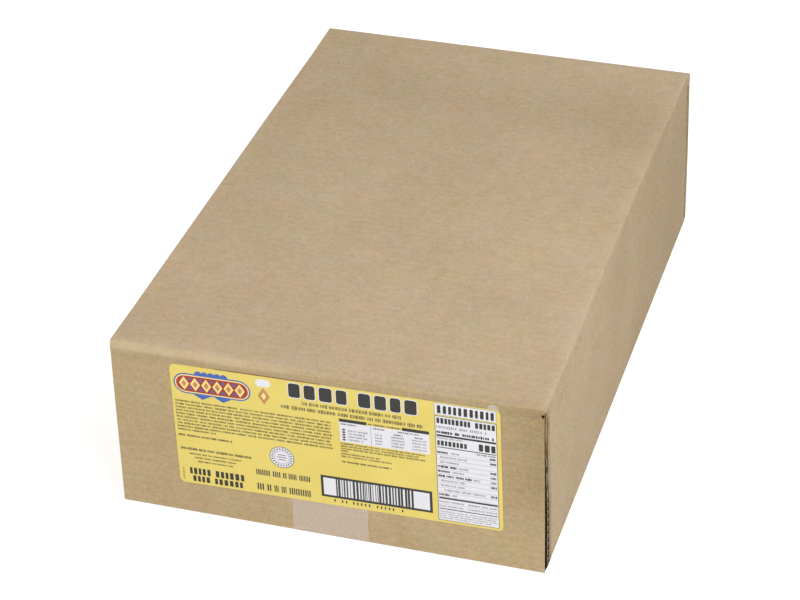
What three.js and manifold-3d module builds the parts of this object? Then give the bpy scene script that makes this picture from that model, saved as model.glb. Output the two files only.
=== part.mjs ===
// A shut corrugated shipping case for frozen food: one folded blank of kraft board with a paper
// label on its front end, a strip of clear tape over each end's bottom edge, and a small round
// clear sticker under one corner of the label.
//
// Millimetres, +Z up. X is the width, Y the length with the labelled front end at -Y. The origin
// is the middle of the bounding box, on the surface that the case stands on.

import * as THREE from 'three';
import { mergeVertices } from 'three/addons/utils/BufferGeometryUtils.js';
import Module from 'manifold-3d';

const wasm = await Module();
wasm.setup();

// ---- Driving dimensions -------------------------------------------------------------------

const WIDTH = 280;
const LENGTH = 448;
const HEIGHT = 124;
const RACK = 1.4; // how far the filled case has leaned: its top sits this much nearer to -X
const PINCH = 1; // how much further the top of the right side panel leans in
const BOARD = 3; // thickness of the B-flute board

const LINER = 0.5; // thickness of the paper on each face of the board
const HOLLOW = 1.5; // how far the cut edge of the board is open between its two liners

const CREASE_RADIUS = 1.2; // the four long edges
const CREASE_STEPS = 5;

// The outer flap of each end hangs from the top panel over a fold of four parts: the panel slopes
// down, turns over the edge, runs on as a crushed facet and turns again into the upright flap. At
// the front the facet is broad at the left and almost nothing at the right, where the panel's own
// slope is longer instead.
const degrees = THREE.MathUtils.degToRad;
const BROAD_FOLD = {
  slope: { length: 6, turn: degrees(6) },
  edge: { radius: 1.2, turn: degrees(69) },
  facet: 3.7,
  creaseRadius: 2,
};
const TIGHT_FOLD = {
  slope: { length: 12, turn: degrees(7) },
  edge: { radius: 1.8, turn: degrees(77) },
  facet: 0.4,
  creaseRadius: 1.5,
};
const BACK_FOLD = {
  slope: { length: 5, turn: degrees(3) },
  edge: { radius: 1, turn: degrees(76) },
  facet: 1.2,
  creaseRadius: 1.2,
};
const FOLD_STEPS = { slope: 3, edge: 6, crease: 3 };
const BROAD_FOLD_ENDS = -55; // x, where the front fold starts to narrow
const TIGHT_FOLD_STARTS = 15; // x
const FLAP_LIFT = 1; // the flap's lower cut edge stays this far above the ground
const FLAP_CREVICE = 0.3; // between the flap's back and the fold of the bottom panel behind it
const BOTTOM_FOLD = 3; // radius of the bottom panel's fold at each end
const BOTTOM_FOLD_STEPS = 4;

// Upright edges, where the outer flap ends beside the side panel. From the outside in there are
// the flap's cut edge, a gap, the cut edge of the inner flap, a groove and the side panel's fold.
// Each row gives them at one height: how far both flaps stop short of the side panel's face, the
// gap, the inner flap's thickness (it is splayed where the corner stands open), the groove and the
// fold's radius.
const CORNER_FLOOR = 0.8; // the skin of the bottom panel that closes the corners from below
const OPEN_CORNER = [
  { z: CORNER_FLOOR, flap: 0.3, gap: 2.2, inner: 0.3, board: 5.6, groove: 2.4, fold: 4.5 },
  { z: 42, flap: 0.3, gap: 1.9, inner: 0.3, board: 5, groove: 2.4, fold: 4.5 },
  { z: 64, flap: 0.4, gap: 1.5, inner: 0.5, board: 3.4, groove: 1.8, fold: 5.5 },
  { z: 97, flap: 0.5, gap: 1.2, inner: 1.2, board: 3, groove: 0.8, fold: 5 },
  { z: 120.6, flap: 0.5, gap: 0.8, inner: 1.6, board: 3, groove: 0.6, fold: 3 },
];
const SHUT_CORNER = [
  { z: CORNER_FLOOR, flap: 0.3, gap: 0.5, inner: 0.6, board: 3, groove: 0.5, fold: 2 },
  { z: 116, flap: 0.1, gap: 0.3, inner: 0.4, board: 3, groove: 0.3, fold: 1.2 },
];
const CORNERS = [
  { side: 1, end: -1, slot: OPEN_CORNER },
  { side: -1, end: -1, slot: SHUT_CORNER },
  { side: 1, end: 1, slot: SHUT_CORNER },
  { side: -1, end: 1, slot: SHUT_CORNER },
];
const GAP_REACH = 110; // how far the gap runs in behind the flap before it closes
const GROOVE_REACH = 6.5;
const SIDE_FOLD_STEPS = 5;
const PINHOLE = { radius: 0.75, depth: 2.5, x: 138.3, z: 118.1, sides: 12 }; // torn beside the slot
const SPARE = 1; // how far a cutting shape runs past the faces that it cuts

// Tape: one strip over each end's bottom edge, down the flap and in under the bottom panel.
const TAPE = { width: 50, top: 72, under: 56, thickness: 0.2, bend: 0.9, bendSteps: 4 };
const TAPE_X = { front: 0.6, back: -1.5 };
const TAPE_OFF_FACE = 0.1;
const TAPE_OFF_GROUND = 0.05;
const TAPE_BED = 0.35; // depth of the press mark in the bottom panel where the tape lies
const TAPE_BED_MARGIN = 0.5;

const LABEL = { width: 213, height: 90, radius: 3.5, thickness: 0.25, x: 5.8, z: 70.9 };
const LABEL_TILT = degrees(0.8); // it rises to the right
const LABEL_OFF_TAPE = 0.1;

const STICKER = { radius: 3.5, thickness: 0.2, x: 107.2, z: 117.4 };
const STICKER_SEGMENTS = 32;

// ---- Values that follow from them ---------------------------------------------------------

const tapeFace = TAPE_OFF_FACE + TAPE.thickness;
const labelBack = tapeFace + LABEL_OFF_TAPE;
const labelFace = labelBack + LABEL.thickness;
const middleY = (labelFace - tapeFace) / 2; // the label stands prouder in front than the tape behind
const frontY = middleY - LENGTH / 2;

// How far a point of the case has shifted along X by the time the case is filled and stands.
function lean(x, z) {
  const rise = z / HEIGHT;
  const toRight = Math.max(0, x) / (WIDTH / 2);
  return RACK * (0.5 - rise) - PINCH * rise * toRight;
}

// ---- Helpers ------------------------------------------------------------------------------

function ccw(outline) {
  const points = outline.map(([p, q]) => new THREE.Vector2(p, q));
  return THREE.ShapeUtils.area(points) < 0 ? points.reverse() : points;
}

// A closed solid through a row of outlines with equally many points. place(point, k) puts a point
// of outline number k in space.
function loft(outlines, place) {
  const rings = outlines.map(ccw);
  const count = rings[0].length;
  const lastStart = (rings.length - 1) * count;
  const positions = rings.flatMap((ring, k) => ring.flatMap((point) => place(point, k)));
  const index = [];
  for (const [a, b, c] of THREE.ShapeUtils.triangulateShape(rings[0], [])) index.push(c, b, a);
  for (const [a, b, c] of THREE.ShapeUtils.triangulateShape(rings.at(-1), [])) {
    index.push(a + lastStart, b + lastStart, c + lastStart);
  }
  for (let start = 0; start < lastStart; start += count) {
    for (let i = 0; i < count; i++) {
      const a = start + i;
      const b = start + ((i + 1) % count);
      index.push(a, b, b + count, a, b + count, a + count);
    }
  }
  const geometry = new THREE.BufferGeometry();
  geometry.setAttribute('position', new THREE.Float32BufferAttribute(positions, 3));
  geometry.setIndex(index);
  return geometry;
}

function toManifold(geometry) {
  const bare = geometry.clone();
  bare.deleteAttribute('normal');
  bare.deleteAttribute('uv');
  const merged = mergeVertices(bare);
  return new wasm.Manifold(new wasm.Mesh({
    numProp: 3,
    vertProperties: merged.attributes.position.array,
    triVerts: Uint32Array.from(merged.index.array),
  }));
}

function toGeometry(manifold) {
  const { vertProperties, triVerts } = manifold.getMesh();
  const geometry = new THREE.BufferGeometry();
  geometry.setAttribute('position', new THREE.Float32BufferAttribute(vertProperties, 3));
  geometry.setIndex([...triVerts]);
  return geometry;
}

function mesh(name, geometry, color, roughness) {
  const flat = geometry.index ? geometry.toNonIndexed() : geometry;
  flat.computeVertexNormals();
  const material = new THREE.MeshStandardMaterial({ color, roughness, metalness: 0 });
  const result = new THREE.Mesh(flat, material);
  result.name = name;
  return result;
}

// Points on a quarter of an ellipse round (cy, cz), from one angle to another.
function arc(cy, cz, ry, rz, from, to, steps) {
  return Array.from({ length: steps + 1 }, (_, i) => {
    const angle = from + ((to - from) * i) / steps;
    return [cy + ry * Math.cos(angle), cz + rz * Math.sin(angle)];
  });
}

const QUARTER = Math.PI / 2;

// ---- The folded blank ---------------------------------------------------------------------

// The four long panels: a rectangle with rounded creases, drawn in X and Z and run along Y.
function girth() {
  const x = WIDTH / 2;
  const r = CREASE_RADIUS;
  const outline = [
    ...arc(x - r, r, r, r, -QUARTER, 0, CREASE_STEPS),
    ...arc(x - r, HEIGHT - r, r, r, 0, QUARTER, CREASE_STEPS),
    ...arc(r - x, HEIGHT - r, r, r, QUARTER, 2 * QUARTER, CREASE_STEPS),
    ...arc(r - x, r, r, r, 2 * QUARTER, 3 * QUARTER, CREASE_STEPS),
  ];
  const shape = new THREE.Shape(outline.map(([p, q]) => new THREE.Vector2(p, q)));
  const depth = LENGTH + 2 * SPARE;
  const geometry = new THREE.ExtrudeGeometry(shape, { depth, bevelEnabled: false });
  geometry.rotateX(QUARTER);
  geometry.translate(0, depth / 2, 0);
  return geometry;
}

// A fold as the case's side shows it, from the level top panel to the upright flap. Each point is
// how far it lies in from the flap's face and how far below the panel's face.
function foldPath({ slope, edge, facet, creaseRadius }) {
  const creaseTurn = QUARTER - slope.turn - edge.turn;
  const stretches = [
    { length: slope.length, turn: slope.turn, steps: FOLD_STEPS.slope },
    { length: edge.radius * edge.turn, turn: edge.turn, steps: FOLD_STEPS.edge },
    { length: facet, turn: 0, steps: 1 },
    { length: creaseRadius * creaseTurn, turn: creaseTurn, steps: FOLD_STEPS.crease },
  ];
  const points = [[0, 0]];
  let heading = 0;
  for (const { length, turn, steps } of stretches) {
    for (let i = 0; i < steps; i++) {
      const [out, down] = points.at(-1);
      const middle = heading + turn / steps / 2;
      const reach = length / steps;
      points.push([out + reach * Math.cos(middle), down + reach * Math.sin(middle)]);
      heading += turn / steps;
    }
  }
  const depth = points.at(-1)[0];
  return points.map(([out, down]) => [depth - out, down]);
}

// The length of the case as its side shows it, with y measured from its middle: the top panel,
// a fold and an outer flap at each end, and the bottom panel turned up behind each flap.
function sideView(frontFold, backFold) {
  const y = LENGTH / 2;
  const turned = y - BOARD - FLAP_CREVICE;
  const r = BOTTOM_FOLD;
  return [
    [-y, FLAP_LIFT],
    [BOARD - y, FLAP_LIFT],
    ...arc(r - turned, r, r, r, 2 * QUARTER, 3 * QUARTER, BOTTOM_FOLD_STEPS),
    ...arc(turned - r, r, r, r, -QUARTER, 0, BOTTOM_FOLD_STEPS),
    [y - BOARD, FLAP_LIFT],
    [y, FLAP_LIFT],
    ...foldPath(backFold).map(([inward, down]) => [y - inward, HEIGHT - down]).reverse(),
    ...foldPath(frontFold).map(([inward, down]) => [inward - y, HEIGHT - down]),
  ];
}

function folded() {
  const reach = WIDTH / 2 + SPARE;
  const sections = [
    { across: -reach, frontFold: BROAD_FOLD },
    { across: BROAD_FOLD_ENDS, frontFold: BROAD_FOLD },
    { across: TIGHT_FOLD_STARTS, frontFold: TIGHT_FOLD },
    { across: reach, frontFold: TIGHT_FOLD },
  ];
  return loft(
    sections.map(({ frontFold }) => sideView(frontFold, BACK_FOLD)),
    ({ x, y }, k) => [sections[k].across, x, y],
  );
}

// The cut edge of a board, seen from above: a hollow between two liners.
function cutEdge(inset, face, thickness) {
  const back = face + thickness;
  return [
    [inset, face + LINER],
    [inset + HOLLOW, face + LINER],
    [inset + HOLLOW, back - LINER],
    [inset, back - LINER],
    [inset, back],
  ];
}

// What is missing at one upright edge, seen from above: how far in from the side panel, and how
// far back from the end.
function cornerOutline({ flap, gap, inner, board, groove, fold }) {
  const innerFlap = BOARD + gap;
  const grooveStart = innerFlap + board;
  const sidePanel = grooveStart + groove;
  return [
    [-SPARE, -SPARE],
    [flap, -SPARE],
    ...cutEdge(flap, 0, BOARD),
    [GAP_REACH, BOARD],
    [inner, innerFlap],
    ...cutEdge(inner, innerFlap, board),
    [GROOVE_REACH, grooveStart],
    [GROOVE_REACH, sidePanel],
    ...arc(fold, sidePanel + fold, fold, fold, -QUARTER, -2 * QUARTER, SIDE_FOLD_STEPS),
    [-SPARE, sidePanel + fold],
  ];
}

function cornerCut({ side, end, slot }) {
  const toPlan = ([inward, back]) => [side * (WIDTH / 2 - inward), end * (LENGTH / 2 - back)];
  const outlines = slot.map((row) => cornerOutline(row).map(toPlan));
  return loft(outlines, ({ x, y }, k) => [x, y, slot[k].z]);
}

function pinhole() {
  const { radius, depth, x, z, sides } = PINHOLE;
  const geometry = new THREE.CylinderGeometry(radius, radius, 2 * depth, sides);
  return geometry.translate(x, -LENGTH / 2, z);
}

// The shallow bed that the tape has pressed into the bottom panel at one end.
function tapeBed(x, end) {
  const width = TAPE.width + 2 * TAPE_BED_MARGIN;
  const length = TAPE.under + TAPE_BED_MARGIN + SPARE;
  const geometry = new THREE.BoxGeometry(width, length, 2 * TAPE_BED);
  return geometry.translate(x, end * (LENGTH / 2 + SPARE - length / 2), 0);
}

function carton() {
  let blank = toManifold(girth()).intersect(toManifold(folded()));
  for (const corner of CORNERS) blank = blank.subtract(toManifold(cornerCut(corner)));
  blank = blank.subtract(toManifold(pinhole()));
  blank = blank.subtract(toManifold(tapeBed(TAPE_X.front, -1)));
  blank = blank.subtract(toManifold(tapeBed(TAPE_X.back, 1)));
  const geometry = toGeometry(blank);
  const position = geometry.attributes.position;
  for (let i = 0; i < position.count; i++) {
    position.setX(i, position.getX(i) + lean(position.getX(i), position.getZ(i)));
    position.setY(i, position.getY(i) + middleY);
  }
  return mesh('carton', geometry, 0xb99b72, 0.9);
}

// ---- What is stuck to it ------------------------------------------------------------------

// A strip of tape, drawn at the front end as its side shows it: down the flap, round the bottom
// edge and in under the case.
function tapeGeometry() {
  const face = -LENGTH / 2 - TAPE_OFF_FACE;
  const floor = TAPE_OFF_GROUND + TAPE.thickness;
  const inner = TAPE.bend;
  const outer = TAPE.bend + TAPE.thickness;
  const cy = face + inner;
  const cz = floor + inner;
  const end = TAPE.under - LENGTH / 2;
  const outline = [
    [face - TAPE.thickness, TAPE.top],
    ...arc(cy, cz, outer, outer, 2 * QUARTER, 3 * QUARTER, TAPE.bendSteps),
    [end, TAPE_OFF_GROUND],
    [end, floor],
    ...arc(cy, cz, inner, inner, 3 * QUARTER, 2 * QUARTER, TAPE.bendSteps),
    [face, TAPE.top],
  ];
  const edges = [-TAPE.width / 2, TAPE.width / 2];
  return loft([outline, outline], ({ x, y }, k) => [edges[k], x, y]);
}

function tape(name, x, end) {
  const strip = mesh(name, tapeGeometry(), 0xc9b8a6, 0.35);
  strip.position.set(x + lean(x, 0), middleY, 0);
  strip.rotation.z = end < 0 ? 0 : Math.PI;
  return strip;
}

function label() {
  const { width, height, radius, thickness } = LABEL;
  const x = width / 2;
  const y = height / 2;
  const shape = new THREE.Shape();
  shape.absarc(x - radius, radius - y, radius, -QUARTER, 0);
  shape.absarc(x - radius, y - radius, radius, 0, QUARTER);
  shape.absarc(radius - x, y - radius, radius, QUARTER, 2 * QUARTER);
  shape.absarc(radius - x, radius - y, radius, 2 * QUARTER, 3 * QUARTER);
  const geometry = new THREE.ExtrudeGeometry(shape, {
    depth: thickness, bevelEnabled: false, curveSegments: 6,
  });
  geometry.rotateZ(LABEL_TILT);
  geometry.rotateX(QUARTER);
  const plate = mesh('label', geometry, 0xe8d377, 0.5);
  plate.position.set(LABEL.x + lean(LABEL.x, LABEL.z), frontY - labelBack, LABEL.z);
  return plate;
}

function sticker() {
  const { radius, thickness, x, z } = STICKER;
  const geometry = new THREE.CylinderGeometry(radius, radius, thickness, STICKER_SEGMENTS);
  const disc = mesh('dot_sticker', geometry, 0xcdc3b8, 0.3);
  disc.position.set(x + lean(x, z), frontY - TAPE_OFF_FACE - thickness / 2, z);
  return disc;
}

// ---- Assembly -----------------------------------------------------------------------------

const shippingCase = new THREE.Group();
shippingCase.add(
  carton(),
  label(),
  tape('tape_front', TAPE_X.front, -1),
  tape('tape_back', TAPE_X.back, 1),
  sticker(),
);

export default shippingCase;
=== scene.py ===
"""The looks of a shut corrugated shipping case, built round its CAD frame.

Sizes are in millimetres until settle() turns them into metres. Pieces are drawn on the upright
case: x across it, y along it from its middle, z up. settle() then dents the panels a little, leans
the case as the CAD does and puts it in the CAD's place.
"""
import math
import random
from collections import namedtuple

import bmesh
import bpy
import numpy as np
from mathutils import Matrix, Vector, noise

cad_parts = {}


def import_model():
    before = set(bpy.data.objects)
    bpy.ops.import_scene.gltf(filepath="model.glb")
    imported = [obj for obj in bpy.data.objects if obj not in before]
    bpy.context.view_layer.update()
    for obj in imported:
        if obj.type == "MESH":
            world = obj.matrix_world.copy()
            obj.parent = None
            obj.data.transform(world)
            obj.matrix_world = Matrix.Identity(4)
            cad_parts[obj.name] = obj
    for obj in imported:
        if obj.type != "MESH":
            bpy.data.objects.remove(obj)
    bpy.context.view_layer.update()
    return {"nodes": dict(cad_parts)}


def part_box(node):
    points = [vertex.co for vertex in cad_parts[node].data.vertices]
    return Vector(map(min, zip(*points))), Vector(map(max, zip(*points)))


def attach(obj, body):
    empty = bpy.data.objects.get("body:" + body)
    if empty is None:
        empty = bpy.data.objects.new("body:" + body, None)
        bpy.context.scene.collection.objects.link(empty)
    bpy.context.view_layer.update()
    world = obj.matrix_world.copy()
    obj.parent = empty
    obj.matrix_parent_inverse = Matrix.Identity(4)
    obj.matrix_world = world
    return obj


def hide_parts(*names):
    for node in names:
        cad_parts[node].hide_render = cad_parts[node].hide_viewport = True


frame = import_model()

MM = 0.001
BODY = "root"
ACROSS, ALONG, UP = (1, 0, 0), (0, 1, 0), (0, 0, 1)

# How close to a plane a point or the middle of a face counts as on it.
TOUCH = 0.02
NEAR = 0.05
LOOSE = 0.1

# ---- The case's own sizes, from the frame ----

RACK = 1.4  # the top sits this much nearer to -X than the bottom
PINCH = 1.0  # the top of the right side leans in this much more
carton_low, carton_high = (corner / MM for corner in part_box("carton"))
HALF_WIDTH = (carton_high.x - carton_low.x - RACK) / 2
HALF_LENGTH = (carton_high.y - carton_low.y) / 2
HEIGHT = carton_high.z
MIDDLE_Y = (carton_high.y + carton_low.y) / 2

# The board, and the upright slots where an outer flap ends beside a side panel. At each height z:
# how far both flaps stop short of the side, the gap between them, the inner flap's thickness, the
# groove behind it and the radius of the side panel's fold.
BOARD = 3.0
LINER = 0.5
FLAP_LIFT = 1.0
FLAP_SAG = 0.3  # how far the outer flaps' lower edges hang below that
SLOT_FLOOR = 0.8
OPEN_SLOT = {
    "z": (SLOT_FLOOR, 42.0, 64.0, 97.0, 120.6),
    "flap": (0.3, 0.3, 0.4, 0.5, 0.5),
    "gap": (2.2, 1.9, 1.5, 1.2, 0.8),
    "inner": (0.3, 0.3, 0.5, 1.2, 1.6),
    "board": (5.6, 5.0, 3.4, 3.0, 3.0),
    "groove": (2.4, 2.4, 1.8, 0.8, 0.6),
    "fold": (4.5, 4.5, 5.5, 5.0, 3.0),
}
SHUT_SLOT = {
    "z": (SLOT_FLOOR, 116.0),
    "flap": (0.3, 0.1),
    "gap": (0.5, 0.3),
    "inner": (0.6, 0.4),
    "board": (3.0, 3.0),
    "groove": (0.5, 0.3),
    "fold": (2.0, 1.2),
}
SLOTS = {(1, -1): OPEN_SLOT, (-1, -1): SHUT_SLOT, (1, 1): SHUT_SLOT, (-1, 1): SHUT_SLOT}

# The front fold: broad and crushed at the left, tight at the right. At each x: how tight it is, how
# far below the top its crushed facet begins and ends, how far down the flap the fold comes, and how
# far back over the top its painted highlight reaches.
FOLD = {
    "x": (-55.0, 15.0),
    "tight": (0.0, 1.0),
    "facet_top": (1.2, 2.3),
    "facet_foot": (4.8, 2.7),
    "drop": (5.3, 2.9),
    "reach": (8.0, 13.0),
}


def slot_of(x, y):
    return SLOTS[(1 if x > 0 else -1, 1 if y > 0 else -1)]


def look_up(table, place, key="z"):
    """What each row of a table holds at a place along its row of this key."""
    return {name: float(np.interp(place, table[key], row)) for name, row in table.items()}


def flap_edge(gaps, inner):
    """How far an inner or outer flap stops short of the side, where it starts and how thick it is."""
    if inner:
        return gaps["inner"], BOARD + gaps["gap"], gaps["board"]
    return gaps["flap"], 0.0, BOARD


# ---- From the upright case to the frame ----

TROUGH = {"y": 176.0, "reach": 22.0, "depth": 1.6, "left": 0.3}
CREASE_BOW = {"y": 90.0, "reach": 240.0, "depth": 2.0, "from_z": 50.0, "at_end": 0.4, "end": 12.0}
UNDER_FOLD = {"below": 5.0, "reach": 4.0, "depth": 0.3, "back": 12.0}
WAVE_SIZE = 90.0
WAVE_DEPTH = 0.35
WAVE_ENDS = (8.0, 40.0)  # the waves fade between these distances from the ends


def between(low, high, share):
    return low + (high - low) * share


def smooth(low, high, value):
    t = np.clip((value - low) / (high - low), 0.0, 1.0)
    return t * t * (3.0 - 2.0 * t)


def bell(offset, reach):
    """1 where there is no offset, falling softly to nearly 0 at twice the reach."""
    return np.exp(-((offset / reach) ** 2))


def fade(distance, reach):
    """1 at no distance, falling evenly to 0 at the reach."""
    return max(0.0, 1.0 - distance / reach)


def waves(points, seed):
    """Slow random waves from 0 to 1, one value for each point."""
    shift = Vector((seed * 7.1, seed * 3.7, seed * 5.3))
    return np.array([0.5 + 0.5 * noise.noise(Vector(p) / WAVE_SIZE + shift) for p in points])


def dents(points):
    """How far each point of the upright case moves, always inwards."""
    x, y, z = points.T
    moves = np.zeros_like(points)
    from_end = HALF_LENGTH - np.abs(y)
    on_top = smooth(0.6 * HEIGHT, HEIGHT, z)
    on_side = smooth(0.8 * HALF_WIDTH, HALF_WIDTH, np.abs(x))
    inside_ends = smooth(*WAVE_ENDS, from_end)
    to_right = smooth(-0.35 * HALF_WIDTH, 0.6 * HALF_WIDTH, x)

    trough = TROUGH["depth"] * bell(y - TROUGH["y"], TROUGH["reach"])
    moves[:, 2] -= on_top * trough * between(TROUGH["left"], 1.0, to_right)
    moves[:, 2] -= on_top * inside_ends * WAVE_DEPTH * waves(points, 1)

    bow = np.clip(1.0 - ((y - CREASE_BOW["y"]) / CREASE_BOW["reach"]) ** 2, 0.0, 1.0)
    bow *= between(CREASE_BOW["at_end"], 1.0, smooth(0.0, CREASE_BOW["end"], from_end))
    raised = smooth(CREASE_BOW["from_z"], HEIGHT, z)
    moves[:, 0] -= on_side * (x > 0) * CREASE_BOW["depth"] * bow * raised
    off_creases = smooth(0.0, 0.2 * HEIGHT, z) * (1.0 - smooth(0.8 * HEIGHT, HEIGHT, z))
    side_wave = on_side * inside_ends * off_creases * WAVE_DEPTH * waves(points, 2)
    moves[:, 0] -= np.sign(x) * side_wave

    line = HEIGHT - np.interp(x, FOLD["x"], FOLD["drop"]) - UNDER_FOLD["below"]
    on_flap = y < UNDER_FOLD["back"] - HALF_LENGTH
    moves[:, 1] += on_flap * UNDER_FOLD["depth"] * bell(line - z, UNDER_FOLD["reach"])
    return moves


def settle(points):
    """Metres in the frame, from millimetres on the upright case."""
    points = np.asarray(points, float).reshape(-1, 3)
    placed = points + dents(points)
    rise = points[:, 2] / HEIGHT
    to_right = np.maximum(points[:, 0], 0.0) / HALF_WIDTH
    placed[:, 0] += RACK * (0.5 - rise) - PINCH * rise * to_right
    placed[:, 1] += MIDDLE_Y
    return placed * MM


def upright(points):
    """Millimetres on the upright case, from metres in the frame, before any dent."""
    points = np.asarray(points, float).reshape(-1, 3) / MM
    rise = points[:, 2] / HEIGHT
    points[:, 0] -= RACK * (0.5 - rise)
    points[:, 0] /= np.where(points[:, 0] > 0.0, 1.0 - PINCH * rise / HALF_WIDTH, 1.0)
    points[:, 1] -= MIDDLE_Y
    return points


# ---- Mesh helpers ----


def add_object(name, data):
    made = bpy.data.objects.new(name, data)
    bpy.context.scene.collection.objects.link(made)
    return made


def add_piece(name, bm, materials, replaced=(), sharp=None):
    """A piece from a bmesh on the upright case, smooth up to the sharp angle if there is one."""
    for face in bm.faces:
        face.smooth = sharp is not None
    bmesh.ops.recalc_face_normals(bm, faces=bm.faces)
    mesh = bpy.data.meshes.new(name)
    bm.to_mesh(mesh)
    bm.free()
    points = np.empty(len(mesh.vertices) * 3)
    mesh.vertices.foreach_get("co", points)
    mesh.vertices.foreach_set("co", settle(points).astype(np.float32).ravel())
    mesh.update()
    for material in materials:
        mesh.materials.append(material)
    if sharp is not None:
        mesh.set_sharp_from_angle(angle=sharp)
    piece = add_object(name, mesh)
    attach(piece, BODY)
    if replaced:
        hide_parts(*replaced)
    return piece


def close_tube(bm, rings, look):
    """Joins each ring of points to the next, and closes the first and the last."""
    faces = [bm.faces.new(rings[0]), bm.faces.new(rings[-1])]
    for first, second in zip(rings, rings[1:]):
        for k in range(len(first)):
            faces.append(bm.faces.new((first[k - 1], first[k], second[k], second[k - 1])))
    for face in faces:
        face.material_index = look


def bisect(bm, normal, places, faces=None):
    """Cuts the mesh along planes square to an axis, so that it can bend there."""
    for place in places:
        near = list(bm.faces if faces is None else faces(bm))
        geometry = near + list({edge for face in near for edge in face.edges})
        geometry += list({vert for face in near for vert in face.verts})
        point = Vector(normal) * place
        bmesh.ops.bisect_plane(bm, geom=geometry, dist=1e-5, plane_co=point, plane_no=normal)


def spread(low, high, step):
    """Places from low to high, as near to step apart as fits."""
    return np.linspace(low, high, max(2, round((high - low) / step) + 1))


def polar(u, v, radius, angle):
    return u + radius * math.cos(angle), v + radius * math.sin(angle)


# ---- Material helpers ----


def srgb(red, green, blue):
    """A linear colour from 0-255 display values."""
    return tuple(((c / 255 + 0.055) / 1.055) ** 2.4 for c in (red, green, blue)) + (1.0,)


class Nodes:
    """Makes and links the nodes of one material."""

    def __init__(self, name):
        self.material = bpy.data.materials.new(name)
        self.material.use_nodes = True
        self.tree = self.material.node_tree
        self.tree.nodes.clear()

    def put(self, socket, value):
        if isinstance(value, bpy.types.NodeSocket):
            self.tree.links.new(value, socket)
        else:
            socket.default_value = value

    def new(self, kind, **inputs):
        """A node, with each input that isn't None set or linked."""
        node = self.tree.nodes.new("ShaderNode" + kind)
        for key, value in inputs.items():
            if value is not None:
                self.put(node.inputs[key.replace("_", " ")], value)
        return node

    def place(self, stretch=(1.0, 1.0, 1.0)):
        """Millimetres in the object's own frame, stretched along its axes."""
        scaled = self.new("VectorMath")
        scaled.operation = "MULTIPLY"
        self.put(scaled.inputs[0], self.new("TexCoord").outputs["Object"])
        self.put(scaled.inputs[1], tuple(s / MM for s in stretch))
        return scaled.outputs[0]

    def split(self, vector):
        return self.new("SeparateXYZ", Vector=vector).outputs

    def math(self, operation, a, b=0.0):
        node = self.new("Math")
        node.operation = operation
        self.put(node.inputs[0], a)
        self.put(node.inputs[1], b)
        return node.outputs[0]

    def times(self, a, b):
        return self.math("MULTIPLY", a, b)

    def plus(self, a, b):
        return self.math("ADD", a, b)

    def noise(self, size, detail=3.0, rough=0.55, stretch=(1.0, 1.0, 1.0)):
        """Noise with features about size millimetres across."""
        return self.new("TexNoise", Vector=self.place(stretch), Scale=1.0 / size, Detail=detail,
                        Roughness=rough).outputs["Fac"]

    def cells(self, size):
        """Voronoi cells: the distance to the nearest point, and a random value for each cell."""
        node = self.new("TexVoronoi", Vector=self.place(), Scale=1.0 / size)
        colour = self.new("SeparateColor", Color=node.outputs["Color"])
        return node.outputs["Distance"], colour.outputs[0]

    def ramp(self, value, low, high, start=0.0, end=1.0):
        node = self.new("MapRange", Value=value, From_Min=low, From_Max=high, To_Min=start, To_Max=end)
        node.interpolation_type = "SMOOTHSTEP"
        return node.outputs["Result"]

    def mix(self, share, a, b, blend="MIX"):
        node = self.new("Mix")
        node.data_type = "RGBA"
        node.blend_type = blend
        node.clamp_factor = True
        for number, value in ((0, share), (6, a), (7, b)):
            self.put(node.inputs[number], value)
        return node.outputs[2]

    def attribute(self, name):
        node = self.new("Attribute")
        node.attribute_name = name
        return node.outputs["Fac"]

    def bump(self, *reliefs):
        """Reliefs one over another, each a height from 0 to 1 and its depth in millimetres."""
        normal = None
        for height, depth in reliefs:
            node = self.new("Bump", Strength=1.0, Distance=depth * MM, Height=height, Normal=normal)
            normal = node.outputs["Normal"]
        return normal

    def weighed(self, parts, contrast=1.0):
        """The sum of each noise's swing round its middle, times its weight."""
        total = 0.0
        for value, weight in parts:
            total = self.plus(total, self.times(self.math("SUBTRACT", value, 0.5), weight))
        total = self.plus(self.times(total, contrast), 0.5)
        return self.math("MAXIMUM", self.math("MINIMUM", total, 1.0), 0.0)

    def facing(self, axis):
        """1 where the surface faces along this axis of the case, and 0 elsewhere."""
        normal = self.split(self.new("NewGeometry").outputs["Normal"])
        return self.math("GREATER_THAN", self.math("ABSOLUTE", normal[axis]), 0.7)

    def finish(self, **sockets):
        """The material, with these inputs of its shader."""
        shader = self.new("BsdfPrincipled", **sockets)
        self.new("OutputMaterial", Surface=shader.outputs["BSDF"])
        return self.material


# ---- Materials ----

FLUTE_PITCH = 6.2
FLUTE_WANDER = {"size": 60.0, "most": 1.2}
NOISE_MIDDLE = (0.35, 0.65)  # most of a noise lies between these
KRAFT_LIGHT = srgb(170, 150, 126)
KRAFT_DARK = srgb(146, 128, 99)
# The pale colour of painted highlight and wear.
KRAFT_LIT_AND_WORN = srgb(186, 167, 140)
KRAFT_SPECK = srgb(92, 70, 48)
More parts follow.
